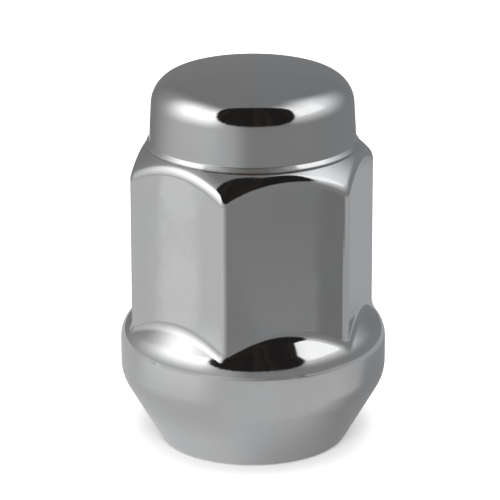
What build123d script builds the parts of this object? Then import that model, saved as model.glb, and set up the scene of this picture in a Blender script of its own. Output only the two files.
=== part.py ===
from build123d import *

import math
import os

# Closed-end bulge acorn lug nut: a forged nut body, with a pressed cap welded over its open end.
# Lengths are millimetres. The origin is the centre of the seat's small end, and +Z runs along the
# thread towards the cap. Half angles are measured from that axis.

# Wrench hexagon, and the body's length up to the weld
across_flats = 20.64
hex_corner_rounding = 0.9
body_height = 28.9

# Chamfered shoulder between the hexagon's flats and the land that carries the cap
land_margin = 0.18
shoulder_half_angle = 40

# Conical seat, from its small flat end up to the bulge
seat_end_radius = 8.66
seat_end_chamfer = 0.4
seat_half_angle = 30

# Bulge, which stands out past the hexagon's corners, with its rounded rim and its sloping ledge
bulge_overhang = 0.55
rim_height = 4.27
rim_lower_rounding = 3.9
rim_upper_rounding = 1.7
ledge_half_angle = 40.6

# Thread, drawn as the bore at its crests, with a lead-in at the seat's end that clears its roots
thread_diameter = 12
thread_pitch = 1.5
lead_in_clearance = 0.4
lead_in_half_angle = 45

# Pressed cap: a drum that widens a little towards its foot, a crowned top and a flared lip
cap_inset = 0.9
cap_height = 6.9
cap_wall = 1.1
cap_draft = 0.19
cap_crown_radius = 56
cap_corner_rounding = 2.75
lip_reach = 0.29
lip_height = 0.6


def rise(reach, half_angle):
    """The height over which a cone of this half angle widens by a reach."""
    return reach / math.tan(math.radians(half_angle))


hex_corner_distance = across_flats / 2 / math.cos(math.radians(30))
bulge_radius = hex_corner_distance + bulge_overhang
seat_height = rise(bulge_radius - seat_end_radius, seat_half_angle)
cap_radius = across_flats / 2 - cap_inset
cap_foot_radius = cap_radius + cap_draft
lip_radius = cap_foot_radius + lip_reach
land_radius = lip_radius + land_margin
thread_bore_radius = (thread_diameter - thread_pitch) / 2


def profile(outline, roundings=(), chamfers=()):
    """A closed outline drawn as radius and height, with the corners given rounded or chamfered."""
    face = make_face(outline)
    for corner, radius in roundings:
        face = fillet(face.vertices().sort_by_distance(Vector(*corner))[0], radius)
    for corner, length in chamfers:
        face = chamfer(face.vertices().sort_by_distance(Vector(*corner))[0], length)
    return face


def turned(face):
    """Revolve a profile about the thread's axis."""
    return revolve(Plane.XZ * face, Axis.Z)


def hexagon_block():
    """The wrench hexagon, cut to the shoulder's cone above, which leaves its scalloped edges.
    It starts halfway up the bulge's rim, where the bulge is wider than its corners."""
    foot = seat_height + rim_height / 2
    outline = RegularPolygon(across_flats / 2, 6, major_radius=False)
    outline = fillet(outline.vertices(), hex_corner_rounding)
    shoulder_foot = body_height - rise(hex_corner_distance - land_radius, shoulder_half_angle)
    cone = profile(
        Polyline(
            (0, foot),
            (hex_corner_distance, foot),
            (hex_corner_distance, shoulder_foot),
            (land_radius, body_height),
            (0, body_height),
            close=True,
        )
    )
    return extrude(Pos(0, 0, foot) * outline, body_height - foot) & turned(cone)


def bulge():
    """The bulge and its conical seat. The ledge runs on inside the hexagon, so that the two unite."""
    seat_end = (seat_end_radius, 0)
    rim_foot = (bulge_radius, seat_height)
    rim_head = (bulge_radius, seat_height + rim_height)
    ledge_top = seat_height + rim_height + rise(bulge_radius - thread_bore_radius, ledge_half_angle)
    outline = Polyline(
        (0, 0),
        seat_end,
        rim_foot,
        rim_head,
        (thread_bore_radius, ledge_top),
        (0, ledge_top),
        close=True,
    )
    roundings = [(rim_foot, rim_lower_rounding), (rim_head, rim_upper_rounding)]
    return turned(profile(outline, roundings, [(seat_end, seat_end_chamfer)]))


def threaded_bore():
    """The space inside the thread's crests, opened out past its roots at the seat's end."""
    mouth_radius = thread_diameter / 2 + lead_in_clearance
    lead_in = rise(mouth_radius - thread_bore_radius, lead_in_half_angle)
    outline = Polyline(
        (0, 0),
        (mouth_radius, 0),
        (thread_bore_radius, lead_in),
        (thread_bore_radius, body_height),
        (0, body_height),
        close=True,
    )
    return turned(profile(outline))


def nut_body():
    """The forging, bored through. Its flats meet the shoulder and the ledge in scalloped lines."""
    return hexagon_block() + bulge() - threaded_bore()


def pressed_cap():
    """The cup of sheet steel that closes the nut, standing on the body's land by its foot.
    The drum is turned with its corner tangent to the dome, and the dome is a slice of a ball."""
    top = body_height + cap_height
    crown_centre = top - cap_crown_radius
    reach = math.degrees(math.asin(cap_radius / cap_crown_radius))
    crown = CenterArc((0, crown_centre), cap_crown_radius, 90 - reach, reach)
    corner = crown @ 0
    lip_root = (cap_foot_radius, body_height + lip_height)
    lip_edge = (lip_radius, body_height)
    wall = Polyline(corner, lip_root, lip_edge, (0, body_height), (0, top))
    outside = profile(crown + wall, [((corner.X, corner.Y), cap_corner_rounding)])

    dome_foot = outside.vertices().sort_by(Axis.Y)[-2].Y
    above_drum = Rectangle(2 * cap_radius, cap_height, align=(Align.CENTER, Align.MIN))
    ball = Pos(0, 0, crown_centre) * Rot(90, 0, 0) * Sphere(cap_crown_radius)
    dome = split(ball, Plane.XY.offset(dome_foot))

    inner_radius = cap_radius - cap_wall
    inner_top = dome_foot - cap_wall
    inner_corner = (inner_radius, inner_top)
    inner_bevel = (cap_corner_rounding - cap_wall) * (2 - math.sqrt(2))
    inside = Polyline(
        (0, body_height),
        (inner_radius, body_height),
        inner_corner,
        (0, inner_top),
        close=True,
    )
    hollow = profile(inside, chamfers=[(inner_corner, inner_bevel)])
    return turned(outside - hollow - Pos(0, dome_foot) * above_drum) + dome


os.makedirs("parts", exist_ok=True)
export_step(nut_body(), "parts/nut_body.step")
export_step(pressed_cap(), "parts/end_cap.step")
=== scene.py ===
import math

import bmesh
import bpy
from mathutils import Matrix, Vector


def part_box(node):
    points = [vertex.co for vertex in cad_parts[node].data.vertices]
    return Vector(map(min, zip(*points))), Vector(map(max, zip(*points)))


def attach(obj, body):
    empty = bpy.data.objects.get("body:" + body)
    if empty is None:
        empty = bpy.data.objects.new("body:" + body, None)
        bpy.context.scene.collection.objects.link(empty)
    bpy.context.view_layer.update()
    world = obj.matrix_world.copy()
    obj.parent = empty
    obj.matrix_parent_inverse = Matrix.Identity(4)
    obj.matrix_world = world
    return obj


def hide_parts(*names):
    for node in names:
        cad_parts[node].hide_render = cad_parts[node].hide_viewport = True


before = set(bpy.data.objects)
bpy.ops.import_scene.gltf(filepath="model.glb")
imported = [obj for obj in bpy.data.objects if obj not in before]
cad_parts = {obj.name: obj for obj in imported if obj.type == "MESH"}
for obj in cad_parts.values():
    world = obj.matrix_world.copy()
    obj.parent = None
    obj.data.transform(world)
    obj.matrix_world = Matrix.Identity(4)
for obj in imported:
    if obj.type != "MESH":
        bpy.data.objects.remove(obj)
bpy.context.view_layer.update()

# Chrome plated closed-end lug nut. The frame is in metres. The dictionaries give sizes in
# millimetres, which this factor brings to metres, and noise scales per metre.
mm = 0.001
boxMargin = 0.001  # how far the pieces stay inside the solids' boxes, in millimetres
mergeDistance = 0.0005 * mm
bodyLow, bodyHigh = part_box("nut_body")
capLow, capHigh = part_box("end_cap")
print("frame loaded:", sorted(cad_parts))


# Outlines: points of radius and height, with round corners as arcs

def tanOf(degrees):
    return math.tan(math.radians(degrees))


def arcPoints(centre, radius, startAngle, endAngle, steps):
    points = []
    for step in range(steps + 1):
        angle = startAngle + (endAngle - startAngle) * step / steps
        points.append(centre + Vector((math.cos(angle), math.sin(angle))) * radius)
    return points


# The arc that rounds a corner, on the side of the points before and after it
def roundedCorner(before, corner, after, rounding, rows):
    back = (before - corner).normalized()
    ahead = (after - corner).normalized()
    half = back.angle(ahead) / 2
    centre = corner + (back + ahead).normalized() * rounding / math.sin(half)
    start = corner + back * rounding / math.tan(half) - centre
    end = corner + ahead * rounding / math.tan(half) - centre
    startAngle = math.atan2(start.y, start.x)
    turn = math.remainder(math.atan2(end.y, end.x) - startAngle, math.tau)
    return arcPoints(centre, rounding, startAngle, startAngle + turn, rows)


# Each corner is radius, height, rounding, the rows of its arc, and the rows that divide the line up
# to the next corner.
def outlinePoints(corners):
    places = [Vector(corner[:2]) for corner in corners]
    arcs = []
    for index, place in enumerate(places):
        rounding, arcRows = corners[index][2:4]
        if rounding == 0:
            arcs.append([place])
        else:
            arcs.append(roundedCorner(places[index - 1], place, places[index + 1], rounding, arcRows))
    points = []
    for arc, following, corner in zip(arcs, arcs[1:], corners):
        rows = corner[4]
        points += arc + [arc[-1].lerp(following[0], row / rows) for row in range(1, rows)]
    return points + arcs[-1]


# Turns an outline about the thread's axis.
def turnedMesh(points, steps, closed=False):
    mesh = bmesh.new()
    rim = [mesh.verts.new((point.x * mm, 0, point.y * mm)) for point in points]
    ahead = rim[1:] + rim[:1] if closed else rim[1:]
    edges = [mesh.edges.new(pair) for pair in zip(rim, ahead)]
    bmesh.ops.spin(mesh, geom=rim + edges, cent=(0, 0, 0), axis=(0, 0, 1), angle=math.tau,
                   steps=steps, use_merge=True)
    bmesh.ops.remove_doubles(mesh, verts=mesh.verts, dist=mergeDistance)
    bmesh.ops.recalc_face_normals(mesh, faces=mesh.faces)
    return mesh


def finishedPiece(name, mesh, material):
    data = bpy.data.meshes.new(name)
    for face in mesh.faces:
        face.smooth = True
    mesh.to_mesh(data)
    mesh.free()
    data.materials.append(material)
    piece = bpy.data.objects.new(name, data)
    bpy.context.scene.collection.objects.link(piece)
    return piece


# The widest radius that stays inside a node's box on all four sides, in millimetres
def widestRadius(low, high):
    return min(high.x, high.y, -low.x, -low.y) / mm - boxMargin


# Node helpers

# A new node. Each of its inputs is given as a value, or as the socket that feeds it.
def addNode(tree, kind, inputs=None, **settings):
    node = tree.nodes.new(kind)
    for name, value in settings.items():
        setattr(node, name, value)
    for label, value in (inputs or {}).items():
        if isinstance(value, bpy.types.NodeSocket):
            tree.links.new(value, node.inputs[label])
        else:
            node.inputs[label].default_value = value
    return node


def calculate(tree, operation, *values):
    return addNode(tree, "ShaderNodeMath", dict(enumerate(values)), operation=operation).outputs[0]


# Mixes two numbers, kind FLOAT, or two colours, kind RGBA.
def mix(tree, kind, factor, first, second):
    inputs = {"Factor": factor, "A": first, "B": second}
    return addNode(tree, "ShaderNodeMix", inputs, data_type=kind).outputs["Result"]


# A smooth step from 0 to 1 while the value goes from one number to the other.
def softStep(tree, value, start, end):
    inputs = {"Value": value, "From Min": start, "From Max": end}
    return addNode(tree, "ShaderNodeMapRange", inputs, interpolation_type="SMOOTHSTEP").outputs["Result"]


def objectPlace(tree):
    return addNode(tree, "ShaderNodeTexCoord").outputs["Object"]


def mappedPlace(tree, rotation, scale):
    inputs = {"Vector": objectPlace(tree), "Rotation": rotation, "Scale": scale}
    return addNode(tree, "ShaderNodeMapping", inputs).outputs["Vector"]


# Noise with patches of about 1 / scale metres. Breakup is how strong its finer detail is.
def unevenness(tree, place, scale, detail=2.0, breakup=0.5):
    inputs = {"Vector": place, "Scale": scale, "Detail": detail, "Roughness": breakup}
    return addNode(tree, "ShaderNodeTexNoise", inputs).outputs["Fac"]


def bumpNormal(tree, height, distance):
    return addNode(tree, "ShaderNodeBump", {"Height": height, "Distance": distance}).outputs["Normal"]


def newMaterial(name):
    material = bpy.data.materials.new(name)
    material.use_nodes = True
    material.node_tree.nodes.clear()
    return material, material.node_tree


def finishMetal(tree, colour, roughness, normal):
    inputs = {"Base Color": colour, "Metallic": 1.0, "Roughness": roughness, "Normal": normal}
    shader = addNode(tree, "ShaderNodeBsdfPrincipled", inputs)
    addNode(tree, "ShaderNodeOutputMaterial", {"Surface": shader.outputs["BSDF"]})


# A group with these inputs and outputs, all numbers, and the sockets that bring its inputs
def newGroup(name, inputs, outputs):
    group = bpy.data.node_groups.new(name, "ShaderNodeTree")
    for direction, labels in (("INPUT", inputs), ("OUTPUT", outputs)):
        for label in labels:
            group.interface.new_socket(label, in_out=direction, socket_type="NodeSocketFloat")
    return group, addNode(group, "NodeGroupInput").outputs


def placeGroup(tree, group, values):
    return addNode(tree, "ShaderNodeGroup", values, node_tree=group).outputs


# Surface effects, shared by the materials

waveLooks = {
    "waveDetail": 1.0,
    "grainDetail": 3.0,
}


# Slow waves that plating and forging leave in a bright surface, with a little fine grain.
def makePlatingWaves():
    inputs = ["WaveScale", "WaveHeight", "GrainScale", "GrainHeight"]
    group, given = newGroup("platingWaves", inputs, ["Height"])
    place = objectPlace(group)
    waves = unevenness(group, place, given["WaveScale"], waveLooks["waveDetail"])
    grain = unevenness(group, place, given["GrainScale"], waveLooks["grainDetail"])
    slow = calculate(group, "MULTIPLY", waves, given["WaveHeight"])
    height = calculate(group, "MULTIPLY_ADD", grain, given["GrainHeight"], slow)
    addNode(group, "NodeGroupOutput", {"Height": height})
    return group


handlingLooks = {
    "smudgeDetail": 5.0,
    "smudgeBreakup": 0.6,
    "smudgeFade": (0.42, 0.72),
    "lineFade": (0.035, 0.0),
    # two sets of long thin cells that cross each other: how each is turned and squeezed
    "lineSets": [((0.2, 0.1, 0.5), (1.0, 1.0, 0.03)), ((0.2, 0.1, 2.1), (0.04, 1.0, 1.0))],
}


# Fine hairlines in two directions and faint smudges, as handling leaves them on polished plating.
def makeHandling():
    looks = handlingLooks
    inputs = ["LineScale", "SmudgeScale", "CleanRoughness", "SmudgeRoughness"]
    group, given = newGroup("handling", inputs, ["Roughness", "Lines", "Film"])
    noise = unevenness(group, objectPlace(group), given["SmudgeScale"], looks["smudgeDetail"],
                       looks["smudgeBreakup"])
    smudged = softStep(group, noise, *looks["smudgeFade"])
    lines = 0.0
    for rotation, squeeze in looks["lineSets"]:
        cellInputs = {"Vector": mappedPlace(group, rotation, squeeze), "Scale": given["LineScale"]}
        cells = addNode(group, "ShaderNodeTexVoronoi", cellInputs, feature="DISTANCE_TO_EDGE")
        thin = softStep(group, cells.outputs["Distance"], *looks["lineFade"])
        lines = calculate(group, "MAXIMUM", lines, thin)
    spread = calculate(group, "SUBTRACT", given["SmudgeRoughness"], given["CleanRoughness"])
    addNode(group, "NodeGroupOutput", {
        "Roughness": calculate(group, "MULTIPLY_ADD", smudged, spread, given["CleanRoughness"]),
        "Lines": calculate(group, "MULTIPLY", lines, smudged),
        "Film": smudged,
    })
    return group


weldLooks = {
    "seamReach": 0.14 * mm,
    "seamRagged": 0.06 * mm,
    "seamLift": 0.05 * mm,
    "raggedScale": 2200.0,
    "tackCount": 3,
    "tackMiddle": -108.6,  # degrees from the X axis
    # the tacks' ends and their heat follow the cosine of the angle from a middle times the count
    "tackEnds": (0.12, 0.28),
    "tackWobble": 0.25,
    "heatFade": (0.7, 1.0),
    "tackFoot": (-0.1 * mm, 0.0),
    "tackHead": (0.49 * mm, 0.39 * mm),  # fades out at the lip's root
}


# The cap's welded foot: a dull line in the crack, and dull tack welds that cover the lip above it
# in equal stretches round the nut, browned by heat in their middles.
def makeWeldSeam():
    looks = weldLooks
    group, given = newGroup("weldSeam", ["Height"], ["Seam", "Tack", "Heat", "Rough"])
    place = objectPlace(group)
    split = addNode(group, "ShaderNodeSeparateXYZ", {"Vector": place}).outputs
    ragged = unevenness(group, place, looks["raggedScale"])
    loose = calculate(group, "SUBTRACT", ragged, 0.5)
    above = calculate(group, "SUBTRACT", split["Z"], given["Height"])
    level = calculate(group, "MULTIPLY_ADD", loose, looks["seamRagged"], above)
    off = calculate(group, "ABSOLUTE", calculate(group, "SUBTRACT", level, looks["seamLift"]))
    near = calculate(group, "SUBTRACT", 1.0, calculate(group, "DIVIDE", off, looks["seamReach"]))

    angle = calculate(group, "ARCTAN2", split["Y"], split["X"])
    turn = calculate(group, "SUBTRACT", angle, math.radians(looks["tackMiddle"]))
    turn = calculate(group, "COSINE", calculate(group, "MULTIPLY", turn, looks["tackCount"]))
    around = calculate(group, "MULTIPLY_ADD", loose, looks["tackWobble"], turn)
    tack = softStep(group, around, *looks["tackEnds"])
    tack = calculate(group, "MULTIPLY", tack, softStep(group, level, *looks["tackFoot"]))
    tack = calculate(group, "MULTIPLY", tack, softStep(group, level, *looks["tackHead"]))
    addNode(group, "NodeGroupOutput", {
        "Seam": calculate(group, "MAXIMUM", near, 0.0),
        "Tack": tack,
        "Heat": softStep(group, around, *looks["heatFade"]),
        "Rough": calculate(group, "MULTIPLY", tack, ragged),
    })
    return group


platingWaves = makePlatingWaves()
handling = makeHandling()
weldSeam = makeWeldSeam()

platingLooks = {
    "coolColour": (0.717, 0.729, 0.742, 1),
    "warmColour": (0.728, 0.728, 0.726, 1),
    "tintScale": 95.0,
    "tintFade": (0.35, 0.65),
    "filmColour": (0.680, 0.682, 0.683, 1),
    "filmStrength": 0.6,
    "lineRoughness": 0.04,
    "lineDepth": 0.012,
    "seamColour": (0.62, 0.61, 0.60, 1),
    "heatColour": (0.42, 0.33, 0.26, 1),
    "seamRoughness": 0.4,
    "tackRoughness": 0.42,
    "dullest": 0.6,
    "waveDistance": 0.012 * mm,
    "bodyWaves": {"WaveScale": 330.0, "WaveHeight": 1.0, "GrainScale": 5200.0, "GrainHeight": 0.012},
    "capWaves": {"WaveScale": 200.0, "WaveHeight": 0.5, "GrainScale": 5200.0, "GrainHeight": 0.010},
    "handled": {"LineScale": 900.0, "SmudgeScale": 170.0,
                "CleanRoughness": 0.045, "SmudgeRoughness": 0.095},
}


# Bright chrome plating, with its waves, handling marks and the dull line at the weld.
def makePlating(name, waves):
    looks = platingLooks
    material, tree = newMaterial(name)
    relief = placeGroup(tree, platingWaves, waves)
    marks = placeGroup(tree, handling, looks["handled"])
    weld = placeGroup(tree, weldSeam, {"Height": bodyHigh.z})

    warmth = softStep(tree, unevenness(tree, objectPlace(tree), looks["tintScale"]), *looks["tintFade"])
    film = calculate(tree, "MULTIPLY", marks["Film"], looks["filmStrength"])
    colour = mix(tree, "RGBA", warmth, looks["coolColour"], looks["warmColour"])
    colour = mix(tree, "RGBA", film, colour, looks["filmColour"])
    crack = mix(tree, "RGBA", weld["Heat"], looks["seamColour"], looks["heatColour"])
    colour = mix(tree, "RGBA", weld["Seam"], colour, crack)

    rough = calculate(tree, "MULTIPLY_ADD", weld["Seam"], looks["seamRoughness"], marks["Roughness"])
    rough = calculate(tree, "MULTIPLY_ADD", weld["Tack"], looks["tackRoughness"], rough)
    rough = calculate(tree, "MULTIPLY_ADD", marks["Lines"], looks["lineRoughness"], rough)
    rough = calculate(tree, "MINIMUM", rough, looks["dullest"])

    height = calculate(tree, "MULTIPLY_ADD", marks["Lines"], -looks["lineDepth"], relief["Height"])
    height = calculate(tree, "ADD", height, weld["Rough"])
    finishMetal(tree, colour, rough, bumpNormal(tree, height, looks["waveDistance"]))
    return material


threadLooks = {
    "steel": (0.36, 0.35, 0.34, 1),
    "oiled": (0.16, 0.15, 0.14, 1),
    "oilScale": 390.0,
    "oilFade": (0.4, 0.65),
    "roughness": 0.24,
    "toolRoughness": 0.2,
    "toolScale": 10400.0,
    "toolStretch": (0.08, 0.08, 1.0),
    "toolDistance": 0.02 * mm,
}


# Bare cut steel, with fine tool lines that run round the bore and a film of dark oil.
def makeThreadSteel():
    looks = threadLooks
    material, tree = newMaterial("threadSteel")
    tooling = unevenness(tree, mappedPlace(tree, (0, 0, 0), looks["toolStretch"]), looks["toolScale"])
    oil = softStep(tree, unevenness(tree, objectPlace(tree), looks["oilScale"]), *looks["oilFade"])
    colour = mix(tree, "RGBA", oil, looks["steel"], looks["oiled"])
    rough = calculate(tree, "MULTIPLY_ADD", tooling, looks["toolRoughness"], looks["roughness"])
    finishMetal(tree, colour, rough, bumpNormal(tree, tooling, looks["toolDistance"]))
    return material


# Nut body: turned with all its roundings, then its wrench zone is drawn in to the hexagon

bodySizes = {
    "flats": 6,
    "acrossFlats": 20.64,
    "cornerRounding": 0.95,
    "seatEndRadius": 8.66,
    "seatEndRounding": 0.8,
    "seatHalfAngle": 30,
    "rimHeight": 4.37,
    "rimLowerRounding": 3.9,
    "rimUpperRounding": 2.7,
    "ledgeHalfAngle": 43.6,
    "ledgeOverlap": 0.85,  # how far the blank's ledge runs on inside the flats
    "ledgeRootSoftness": 0.4,
    "landRadius": 9.645,
    "landEdgeRounding": 0.77,
    "shoulderHeadAngle": 50.25,
    "shoulderFootAngle": 35.3,
    "shoulderCrown": 13.06,
    "shoulderSoftness": 0.394,
    "blankMargin": 0.5,  # how far the blank stands out past the hexagon's corners
    "mouthRadius": 6.4,
    "rootRadius": 6.06,
    "boreMargin": 0.5,  # the bore's wall, this much wider than its roots, stays round
    "zoneDrop": 1.2,  # how far below the rim's head the wrench zone starts
    "rowGap": 0.01,  # tells the rows of the flats from those of the ledge and the shoulder
    "steps": 432,
    "cornerCrowding": 0.7,
    "leastLean": 0.05,
}


# Distance from the axis to the hexagon with round corners, two of which lie on the X axis.
def hexagonRadius(angle):
    flat = bodySizes["acrossFlats"] / 2
    rounding = bodySizes["cornerRounding"]
    halfSide = math.pi / bodySizes["flats"]
    away = abs((angle + halfSide) % (2 * halfSide) - halfSide)
    centre = (flat - rounding) / math.cos(halfSide)
    arcEnd = math.atan2(rounding * math.sin(halfSide), centre + rounding * math.cos(halfSide))
    if away < arcEnd:
        return centre * math.cos(away) + math.sqrt(rounding ** 2 - (centre * math.sin(away)) ** 2)
    return flat / math.cos(halfSide - away)


# Radius where a flat and a cone cut each other, with the edge between them rounded. A hollow
# root is the same with both turned inside out. The lean is the level part of the cone's normal.
def softCut(flat, cone, softness, lean, hollow=False):
    side = -1 if hollow else 1
    first = side * flat - softness
    second = side * cone - softness / lean
    total = 1 + lean ** 2
    middle = (first + lean ** 2 * second) / total
    rest = (first ** 2 + lean ** 2 * second ** 2 - softness ** 2) / total
    spread = middle ** 2 - rest
    if spread > 0:
        radius = middle + math.sqrt(spread)
        if radius > first and radius > second:
            return side * radius
    return side * min(side * flat, side * cone)


def makeNutBody(material):
    sizes = bodySizes
    height = bodyHigh.z / mm
    bulge = widestRadius(bodyLow, bodyHigh)
    rimFoot = (bulge - sizes["seatEndRadius"]) / tanOf(sizes["seatHalfAngle"])
    rimHead = rimFoot + sizes["rimHeight"]
    ledgeIn = sizes["acrossFlats"] / 2 - sizes["ledgeOverlap"]
    ledgeTop = rimHead + (bulge - ledgeIn) / tanOf(sizes["ledgeHalfAngle"])

    # the shoulder is crowned: its cone gets steeper on one long arc from the land down to the flats
    headAngle = math.radians(sizes["shoulderHeadAngle"])
    footAngle = math.radians(sizes["shoulderFootAngle"])
    reach = sizes["landEdgeRounding"] * math.tan((math.pi / 2 - headAngle) / 2)
    reach += sizes["shoulderCrown"] * math.tan((headAngle - footAngle) / 2)
    crownRadius = sizes["landRadius"] + reach * math.sin(headAngle)
    crownHeight = height - reach * math.cos(headAngle)
    blank = hexagonRadius(0) + sizes["blankMargin"]
    shoulderFoot = crownHeight - (blank - crownRadius) / math.tan(footAngle)
    mesh = turnedMesh(outlinePoints([
        (sizes["mouthRadius"], 0, 0, 0, 2),
        (sizes["seatEndRadius"], 0, sizes["seatEndRounding"], 10, 10),
        (bulge, rimFoot, sizes["rimLowerRounding"], 12, 2),
        (bulge, rimHead, sizes["rimUpperRounding"], 20, 36),
        (ledgeIn, ledgeTop, 0, 0, 6),
        (blank, shoulderFoot, 0, 0, 4),
        (crownRadius, crownHeight, sizes["shoulderCrown"], 44, 1),
        (sizes["landRadius"], height, sizes["landEdgeRounding"], 10, 3),
        (sizes["rootRadius"], height, 0, 0, 2),
        (sizes["rootRadius"], sizes["mouthRadius"] - sizes["rootRadius"], 0, 0, 2),
    ]), sizes["steps"], closed=True)

    # the columns crowd together at the hexagon's corners, where the surface turns fastest
    mesh.normal_update()
    leans = {vert: max(vert.normal.xy.length, sizes["leastLean"]) for vert in mesh.verts}
    for vert, lean in leans.items():
        angle = math.atan2(vert.co.y, vert.co.x)
        angle -= sizes["cornerCrowding"] / sizes["flats"] * math.sin(sizes["flats"] * angle)
        radius = vert.co.xy.length / mm
        level = vert.co.z / mm
        if radius > sizes["rootRadius"] + sizes["boreMargin"] and level > rimHead - sizes["zoneDrop"]:
            flat = hexagonRadius(angle)
            if level <= ledgeTop - sizes["rowGap"]:
                radius = softCut(flat, radius, sizes["ledgeRootSoftness"], lean, hollow=True)
            elif level < shoulderFoot + sizes["rowGap"]:
                radius = flat
            else:
                radius = softCut(flat, radius, sizes["shoulderSoftness"], lean)
        vert.co.x = radius * mm * math.cos(angle)
        vert.co.y = radius * mm * math.sin(angle)
    bmesh.ops.recalc_face_normals(mesh, faces=mesh.faces)
    return finishedPiece("nutShell", mesh, material)


# Thread: one ridge that winds up the bore, cut back by the lead-in at the mouth

threadSizes = {
    "crestRadius": 5.25,
    "pitch": 1.5,
    "crestShare": 0.28,  # the crest's flat, as a share of the pitch
    "flankAngle": 30,
    "buried": 0.04,  # how far the ridge's foot sits in the bore's wall
    "endGap": 0.03,
    "mouthGap": 0.01,
    "stepsPerTurn": 72,
}


def makeThread(material):
    sizes = threadSizes
    height = bodyHigh.z / mm
    pitch = sizes["pitch"]
    foot = bodySizes["rootRadius"] + sizes["buried"]
    crest = sizes["crestRadius"]
    crestHalf = pitch * sizes["crestShare"] / 2
    footHalf = crestHalf + (foot - crest) * tanOf(sizes["flankAngle"])
    section = [(foot, -footHalf), (crest, -crestHalf), (crest, crestHalf), (foot, footHalf)]
    turns = math.ceil(height / pitch) + 1
    mesh = bmesh.new()
    verts = [mesh.verts.new((radius * mm, 0, (level - pitch / 2) * mm)) for radius, level in section]
    edges = [mesh.edges.new(pair) for pair in zip(verts, verts[1:])]
    bmesh.ops.spin(mesh, geom=verts + edges, cent=(0, 0, 0), axis=(0, 0, 1),
                   dvec=(0, 0, pitch * mm / sizes["stepsPerTurn"]),
                   angle=math.tau * turns, steps=sizes["stepsPerTurn"] * turns)
    for vert in mesh.verts:
        radius = vert.co.xy.length / mm
        level = min(max(vert.co.z / mm, sizes["endGap"]), height - sizes["endGap"])
        wanted = max(radius, bodySizes["mouthRadius"] - level + sizes["mouthGap"])
        vert.co.x *= wanted / radius
        vert.co.y *= wanted / radius
        vert.co.z = level * mm
    bmesh.ops.dissolve_degenerate(mesh, dist=mergeDistance, edges=mesh.edges)
    bmesh.ops.recalc_face_normals(mesh, faces=mesh.faces)
    return finishedPiece("boreThread", mesh, material)


# End cap: a pressed cup with a crowned top, a large corner rounding and a flared lip

capSizes = {
    "drumRadius": 9.42,
    "footRadius": 9.61,
    "wall": 1.1,
    "crownRadius": 56,
    "cornerRounding": 2.75,
    "lipHeight": 0.44,
    "lipRampAngle": 38,
    "lipFlare": 0.03,
    "lipRootRounding": 0.06,
    "lipHeadRounding": 0.15,
    "lipEdgeRounding": 0.03,
    "steps": 288,
    "crownRows": 12,
    "cornerRows": 36,
}


# The dome's arc from the axis out to the corner's arc, and that arc down to the drum's wall. The
# inside of the cup is the same, drawn in by the wall.
def domePoints(top, lean, inset=0.0):
    crown = capSizes["crownRadius"] - inset
    corner = capSizes["cornerRounding"] - inset
    domeCentre = Vector((0, top - inset - crown))
    cornerX = capSizes["drumRadius"] - inset - corner
    cornerCentre = Vector((cornerX, domeCentre.y + math.sqrt((crown - corner) ** 2 - cornerX ** 2)))
    meeting = cornerCentre - domeCentre
    meetingAngle = math.atan2(meeting.y, meeting.x)
    dome = arcPoints(domeCentre, crown, math.pi / 2, meetingAngle, capSizes["crownRows"])
    return dome + arcPoints(cornerCentre, corner, meetingAngle, lean, capSizes["cornerRows"])[1:]


def makeEndCap(material):
    sizes = capSizes
    top = capHigh.z / mm - boxMargin
    foot = capLow.z / mm
    lean = math.atan((sizes["footRadius"] - sizes["drumRadius"]) / (top - foot))
    outside = domePoints(top, lean)
    inside = domePoints(top, lean, sizes["wall"])
    # the lip is a short ramp and then a band, nearly upright, that ends at the seam
    lip = widestRadius(capLow, capHigh)
    band = lip - sizes["lipFlare"]
    lipHead = foot + sizes["lipHeight"]
    rampFoot = lipHead - (band - sizes["footRadius"]) / tanOf(sizes["lipRampAngle"])
    skirt = outlinePoints([
        (*outside[-1], 0, 0, 6),
        (sizes["footRadius"], lipHead, sizes["lipRootRounding"], 6, 3),
        (band, rampFoot, sizes["lipHeadRounding"], 6, 3),
        (lip, foot, sizes["lipEdgeRounding"], 6, 2),
        (sizes["footRadius"] - sizes["wall"], foot, 0, 0, 1),
    ])
    mesh = turnedMesh(outside + skirt[1:] + inside[::-1], sizes["steps"])
    return finishedPiece("pressedCap", mesh, material)


bodyPlating = makePlating("bodyPlating", platingLooks["bodyWaves"])
capPlating = makePlating("capPlating", platingLooks["capWaves"])
threadSteel = makeThreadSteel()
print("materials made")

nutShell = makeNutBody(bodyPlating)
boreThread = makeThread(threadSteel)
pressedCap = makeEndCap(capPlating)
pieces = [nutShell, boreThread, pressedCap]
print("pieces made:", {piece.name: len(piece.data.polygons) for piece in pieces})

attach(nutShell, "root")
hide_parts("nut_body")
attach(boreThread, "root")
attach(pressedCap, "root")
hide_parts("end_cap")


# Studio: a pale floor, a light tent that only shows in the plating, and soft light on the floor.
# Azimuths are degrees as seen from the nut: 0 is towards the camera, and positive is to the
# picture's right.

cameraView = {
    "azimuth": -17.0,
    "elevation": 21.957,
    "distance": 330.0,
    "aimSide": -0.273,
    "aimHeight": 18.26,
    "roll": -0.124,
    "lens": 248.8,
    "sensor": 36.0,
    "nearest": 10.0,
    "farthest": 20000.0,
}


# Turns a place in front of the nut, on the -Y side, to the camera's side.
def cameraTurn():
    return Matrix.Rotation(math.radians(cameraView["azimuth"]), 4, "Z")


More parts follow.
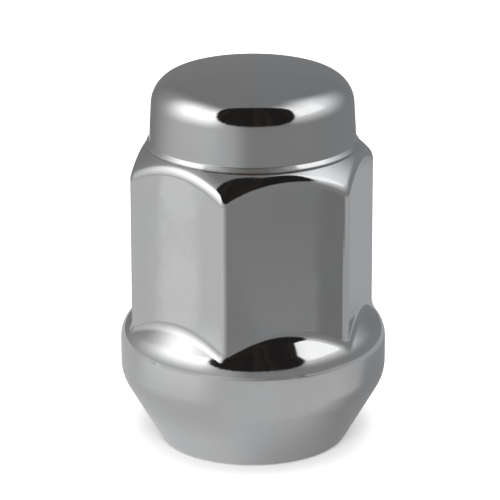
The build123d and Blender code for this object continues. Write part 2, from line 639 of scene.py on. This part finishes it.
def placeCamera():
    view = cameraView
    lift = math.radians(view["elevation"])
    stand = Vector((0, -math.cos(lift), math.sin(lift))) * view["distance"] * mm
    aim = Vector((view["aimSide"], 0, view["aimHeight"])) * mm
    data = bpy.data.cameras.new("camera")
    data.lens = view["lens"]
    data.sensor_width = view["sensor"]
    data.clip_start = view["nearest"] * mm
    data.clip_end = view["farthest"] * mm
    camera = bpy.data.objects.new("camera", data)
    camera.rotation_mode = "QUATERNION"
    look = (aim - stand).to_track_quat("-Z", "Y").to_matrix().to_4x4()
    roll = Matrix.Rotation(math.radians(view["roll"]), 4, "Z")
    camera.matrix_world = cameraTurn() @ Matrix.Translation(stand) @ look @ roll
    bpy.context.scene.collection.objects.link(camera)
    bpy.context.scene.camera = camera


# Millimetres to the picture's right, towards the camera and up, as node sockets
def studioPlace(tree):
    turn = (0, 0, math.radians(cameraView["azimuth"]))
    place = mappedPlace(tree, turn, (1 / mm, -1 / mm, 1 / mm))
    split = addNode(tree, "ShaderNodeSeparateXYZ", {"Vector": place}).outputs
    return split["X"], split["Y"], split["Z"]


# Azimuth, and distance from the axis
def roundAxis(tree, side, towards):
    azimuth = calculate(tree, "DEGREES", calculate(tree, "ARCTAN2", side, towards))
    squares = calculate(tree, "MULTIPLY_ADD", side, side, calculate(tree, "MULTIPLY", towards, towards))
    return azimuth, calculate(tree, "SQRT", squares)


# Lays patches of brightness over a plain one, each over those before it. Each pair is where an edge
# of the patch starts to show and where it shows in full.
def layPatches(tree, plain, patches, places):
    light = plain
    for brightness, edges in patches.values():
        mask = 1.0
        for label, pairs in edges.items():
            for start, full in pairs:
                mask = calculate(tree, "MULTIPLY", mask, softStep(tree, places[label], start, full))
        light = mix(tree, "FLOAT", mask, light, brightness)
    return light


# Azimuths and elevations are degrees, and the streaks' scale is per degree. Elevations are seen from
# the eye's height.
tentLooks = {
    "radius": 108.0,
    "centreHeight": 20.0,
    "segments": 128,
    "eyeHeight": 34.0,
    "wall": 0.218,
    "patches": {
        "frontLow": (0.245, {"azimuth": [(-60, -25), (180, 120)], "elevation": [(8.9, -11.6)]}),
        "leftLow": (0.45, {"azimuth": [(-150, -95), (-0.6, -27.9)], "elevation": [(57.7, 35.3)]}),
        "rightLow": (0.249, {"azimuth": [(35, 55), (140, 105)], "elevation": [(30, 10)]}),
        "leftBox": (1.9, {"azimuth": [(-122.6, -75.3), (-24, -50)],
                          "elevation": [(-22, 40), (66, 22.5)]}),
        "rightBox": (1.06, {"azimuth": [(34, 52), (147, 89.5)], "elevation": [(-5.5, 40), (76, 48)]}),
        "rightGlow": (1.24, {"azimuth": [(48, 60), (99, 87)], "elevation": [(20, 29), (49, 42)]}),
    },
    "plainLight": (1.0, 1.0, 1.0, 1),
    "coolLight": (0.975, 1.0, 1.03, 1),
    "coolFade": (60, 110),
    "opening": {
        "dark": (0.016, 0.0145, 0.014, 1),
        "light": (0.028, 0.023, 0.019, 1),
        "streakScale": 0.09,
        "streakFade": (0.4, 0.75),
        "front": 7.5,  # how far the eye is from the axis, towards the camera
        "tilt": 15.0,
        "sides": (-0.918, 1.153),
        "heights": (-0.201, 2.041),
        "roundness": 2.97,
        "softness": 0.06,
        "ragged": 0.13,
        "raggedScale": 150.0,
        "leastDepth": 0.001,  # keeps what is behind the eye out of the opening
    },
}


# A soft-edged opening with round corners, as it is seen from the eye's height. Its sizes are the
# tangents of the angles from its middle line, which is tilted up.
def tentOpening(tree, side, towards, up):
    looks = tentLooks["opening"]
    sine = math.sin(math.radians(looks["tilt"]))
    cosine = math.cos(math.radians(looks["tilt"]))
    front = calculate(tree, "SUBTRACT", towards, looks["front"])
    above = calculate(tree, "SUBTRACT", up, tentLooks["eyeHeight"])
    depth = calculate(tree, "MULTIPLY_ADD", above, sine, calculate(tree, "MULTIPLY", front, cosine))
    depth = calculate(tree, "MAXIMUM", depth, looks["leastDepth"])
    rise = calculate(tree, "MULTIPLY_ADD", above, cosine, calculate(tree, "MULTIPLY", front, -sine))
    total = 0.0
    for length, (low, high) in ((side, looks["sides"]), (rise, looks["heights"])):
        part = calculate(tree, "SUBTRACT", calculate(tree, "DIVIDE", length, depth), (low + high) / 2)
        part = calculate(tree, "ABSOLUTE", calculate(tree, "DIVIDE", part, (high - low) / 2))
        total = calculate(tree, "ADD", total, calculate(tree, "POWER", part, looks["roundness"]))
    edge = calculate(tree, "POWER", total, 1 / looks["roundness"])
    ragged = calculate(tree, "SUBTRACT", unevenness(tree, objectPlace(tree), looks["raggedScale"]), 0.5)
    edge = calculate(tree, "MULTIPLY_ADD", ragged, looks["ragged"], edge)
    return softStep(tree, edge, 1 + looks["softness"], 1 - looks["softness"])


# Light from the far right is a little cooler than the rest.
def lightTint(tree, azimuth):
    coolness = softStep(tree, azimuth, *tentLooks["coolFade"])
    return mix(tree, "RGBA", coolness, tentLooks["plainLight"], tentLooks["coolLight"])


def makeTent():
    looks = tentLooks
    material, tree = newMaterial("tentLight")
    side, towards, up = studioPlace(tree)
    azimuth, away = roundAxis(tree, side, towards)
    above = calculate(tree, "SUBTRACT", up, looks["eyeHeight"])
    elevation = calculate(tree, "DEGREES", calculate(tree, "ARCTAN2", above, away))
    places = {"azimuth": azimuth, "elevation": elevation}
    light = layPatches(tree, looks["wall"], looks["patches"], places)
    inputs = {"Vector": lightTint(tree, azimuth), "Scale": light}
    walls = addNode(tree, "ShaderNodeVectorMath", inputs, operation="SCALE").outputs["Vector"]

    # what shows through the opening is a dark room with a few upright streaks of warm light
    opening = looks["opening"]
    inputs = {"W": azimuth, "Scale": opening["streakScale"]}
    noise = addNode(tree, "ShaderNodeTexNoise", inputs, noise_dimensions="1D").outputs["Fac"]
    streaks = softStep(tree, noise, *opening["streakFade"])
    room = mix(tree, "RGBA", streaks, opening["dark"], opening["light"])
    colour = mix(tree, "RGBA", tentOpening(tree, side, towards, up), walls, room)
    glow = addNode(tree, "ShaderNodeEmission", {"Color": colour})
    addNode(tree, "ShaderNodeOutputMaterial", {"Surface": glow.outputs["Emission"]})

    mesh = bmesh.new()
    bmesh.ops.create_uvsphere(mesh, u_segments=looks["segments"], v_segments=looks["segments"] // 2,
                              radius=looks["radius"] * mm)
    bmesh.ops.translate(mesh, verts=mesh.verts, vec=(0, 0, looks["centreHeight"] * mm))
    tent = finishedPiece("lightTent", mesh, material)
    tent.visible_camera = tent.visible_diffuse = tent.visible_shadow = False
    tent.visible_transmission = tent.visible_volume_scatter = False


# The patches are placed by azimuth in degrees and by millimetres: away from the axis, to the
# picture's right, across the stripes and from the shade's edge.
floorLooks = {
    "size": 4000.0,
    "drop": 0.02,
    "paper": (0.9, 0.9, 0.9, 1),
    # brightness of the floor's painted reflection near the nut, and patches of painted light and painted
    # shade laid over it
    "near": 0.51,
    "patches": {
        "leftFoot": (0.58, {"away": [(13, 10)], "azimuth": [(5, -40), (-160, -120)]}),
        "leftNear": (0.72, {"away": [(16, 42)], "azimuth": [(-20, -48), (-110, -75)]}),
        "rightBack": (0.40, {"azimuth": [(60, 100), (180, 150)]}),
        "rightShade": (0.28, {"shadeEdge": [(15, 4.5)], "side": [(-3, 3)], "away": [(46, 30)]}),
        "leftFar": (0.60, {"away": [(39, 48)], "azimuth": [(-15, -46), (-98, -90)]}),
        "leftStripe": (0.72, {"away": [(39, 48)], "side": [(-20, -30)],
                              "across": [(4.2, 5.5), (9.6, 8.5)]}),
        "leftEdge": (0.555, {"away": [(39, 48)], "side": [(-20, -30)],
                             "across": [(0.0, 1.5), (5.5, 4.2)]}),
        "frontFar": (0.235, {"away": [(38, 43)], "azimuth": [(-32, 14), (80, 48)]}),
        "frontMiddle": (0.262, {"away": [(38, 43), (85, 50)], "azimuth": [(26, 28.5), (35.4, 34.2)]}),
        "frontEdge": (0.198, {"away": [(38, 43)], "azimuth": [(34.2, 35.4), (50, 42)]}),
        "rightFar": (0.40, {"away": [(40, 48), (80, 68)], "azimuth": [(38.5, 42), (95, 80)]}),
        "edge": (0.24, {"away": [(86, 98)], "azimuth": [(60, 90)]}),
    },
    "shadeBendFrom": 18.0,
    "shadeBend": 0.8,
    "stripeTurn": 3.0,
}


# Where a place on the floor lies, for the patches. Further out, the shade's edge bends away from
# the camera. The left flat looks along the floor nearly sideways, so stripes laid that way show
# upright in that flat.
def floorPlaces(tree):
    looks = floorLooks
    side, towards = studioPlace(tree)[:2]
    azimuth, away = roundAxis(tree, side, towards)
    past = calculate(tree, "SUBTRACT", side, looks["shadeBendFrom"])
    past = calculate(tree, "MAXIMUM", past, 0.0)
    turn = math.radians(looks["stripeTurn"])
    across = calculate(tree, "MULTIPLY", towards, math.cos(turn))
    return {
        "azimuth": azimuth,
        "away": away,
        "side": side,
        "shadeEdge": calculate(tree, "MULTIPLY_ADD", past, looks["shadeBend"], towards),
        "across": calculate(tree, "MULTIPLY_ADD", side, math.sin(turn), across),
    }


# The floor is plain and pale to the camera. In the plating it shows a painted reflection: an
# emission that stands in for lit paper, brighter towards the left light, with a painted shade of the
# nut on the right, and darker towards the tent's opening. From below it is clear.
def makeFloor():
    looks = floorLooks
    material, tree = newMaterial("floorPaper")
    places = floorPlaces(tree)
    light = layPatches(tree, looks["near"], looks["patches"], places)
    tint = lightTint(tree, places["azimuth"])
    paper = addNode(tree, "ShaderNodeBsdfDiffuse", {"Color": looks["paper"]}).outputs["BSDF"]
    # painted reflection of the floor: a glow that only the plating sees
    paintedSheen = addNode(tree, "ShaderNodeEmission", {"Color": tint, "Strength": light}).outputs["Emission"]
    clear = addNode(tree, "ShaderNodeBsdfTransparent").outputs["BSDF"]
    mirrored = addNode(tree, "ShaderNodeLightPath").outputs["Is Glossy Ray"]
    below = addNode(tree, "ShaderNodeNewGeometry").outputs["Backfacing"]
    seen = addNode(tree, "ShaderNodeMixShader", {0: mirrored, 1: paper, 2: paintedSheen}).outputs["Shader"]
    oneSided = addNode(tree, "ShaderNodeMixShader", {0: below, 1: seen, 2: clear}).outputs["Shader"]
    addNode(tree, "ShaderNodeOutputMaterial", {"Surface": oneSided})

    mesh = bmesh.new()
    bmesh.ops.create_grid(mesh, x_segments=1, y_segments=1, size=looks["size"] / 2 * mm)
    bmesh.ops.translate(mesh, verts=mesh.verts, vec=(0, 0, bodyLow.z - looks["drop"] * mm))
    floor = finishedPiece("floor", mesh, material)


# A round soft lamp aimed at the nut's foot. It lights the floor, and the plating doesn't show it.
def makeLamp(name, place, size, power):
    data = bpy.data.lights.new(name, "AREA")
    data.shape = "DISK"
    data.size = size * mm
    data.energy = power
    lamp = bpy.data.objects.new(name, data)
    lamp.rotation_mode = "QUATERNION"
    lamp.matrix_world = Matrix.Translation(place) @ place.to_track_quat("Z", "Y").to_matrix().to_4x4()
    lamp.visible_glossy = False
    bpy.context.scene.collection.objects.link(lamp)


skyLooks = {
    "brightness": 1.2,
    "colour": (1, 1, 1, 1),
    "lampSize": 500.0,
    "lampHeight": 600.0,
    "lampPower": 1.35,
    "fillSize": 400.0,
    "fillDistance": 700.0,
    "fillElevation": 32.0,
    "fillPower": 3.5,
}


def makeSky():
    looks = skyLooks
    world = bpy.data.worlds.new("studioSky")
    bpy.context.scene.world = world
    world.use_nodes = True
    tree = world.node_tree
    tree.nodes.clear()
    light = {"Color": looks["colour"], "Strength": looks["brightness"]}
    plain = addNode(tree, "ShaderNodeBackground", light)
    addNode(tree, "ShaderNodeOutputWorld", {"Surface": plain.outputs["Background"]})
    lift = math.radians(looks["fillElevation"])
    above = Vector((0, 0, looks["lampHeight"] * mm))
    front = cameraTurn() @ Vector((0, -math.cos(lift), math.sin(lift))) * looks["fillDistance"] * mm
    makeLamp("overheadLamp", above, looks["lampSize"], looks["lampPower"])
    makeLamp("frontFill", front, looks["fillSize"], looks["fillPower"])


placeCamera()
makeTent()
makeFloor()
makeSky()
bpy.context.scene.view_settings.view_transform = "Standard"
print("studio made")
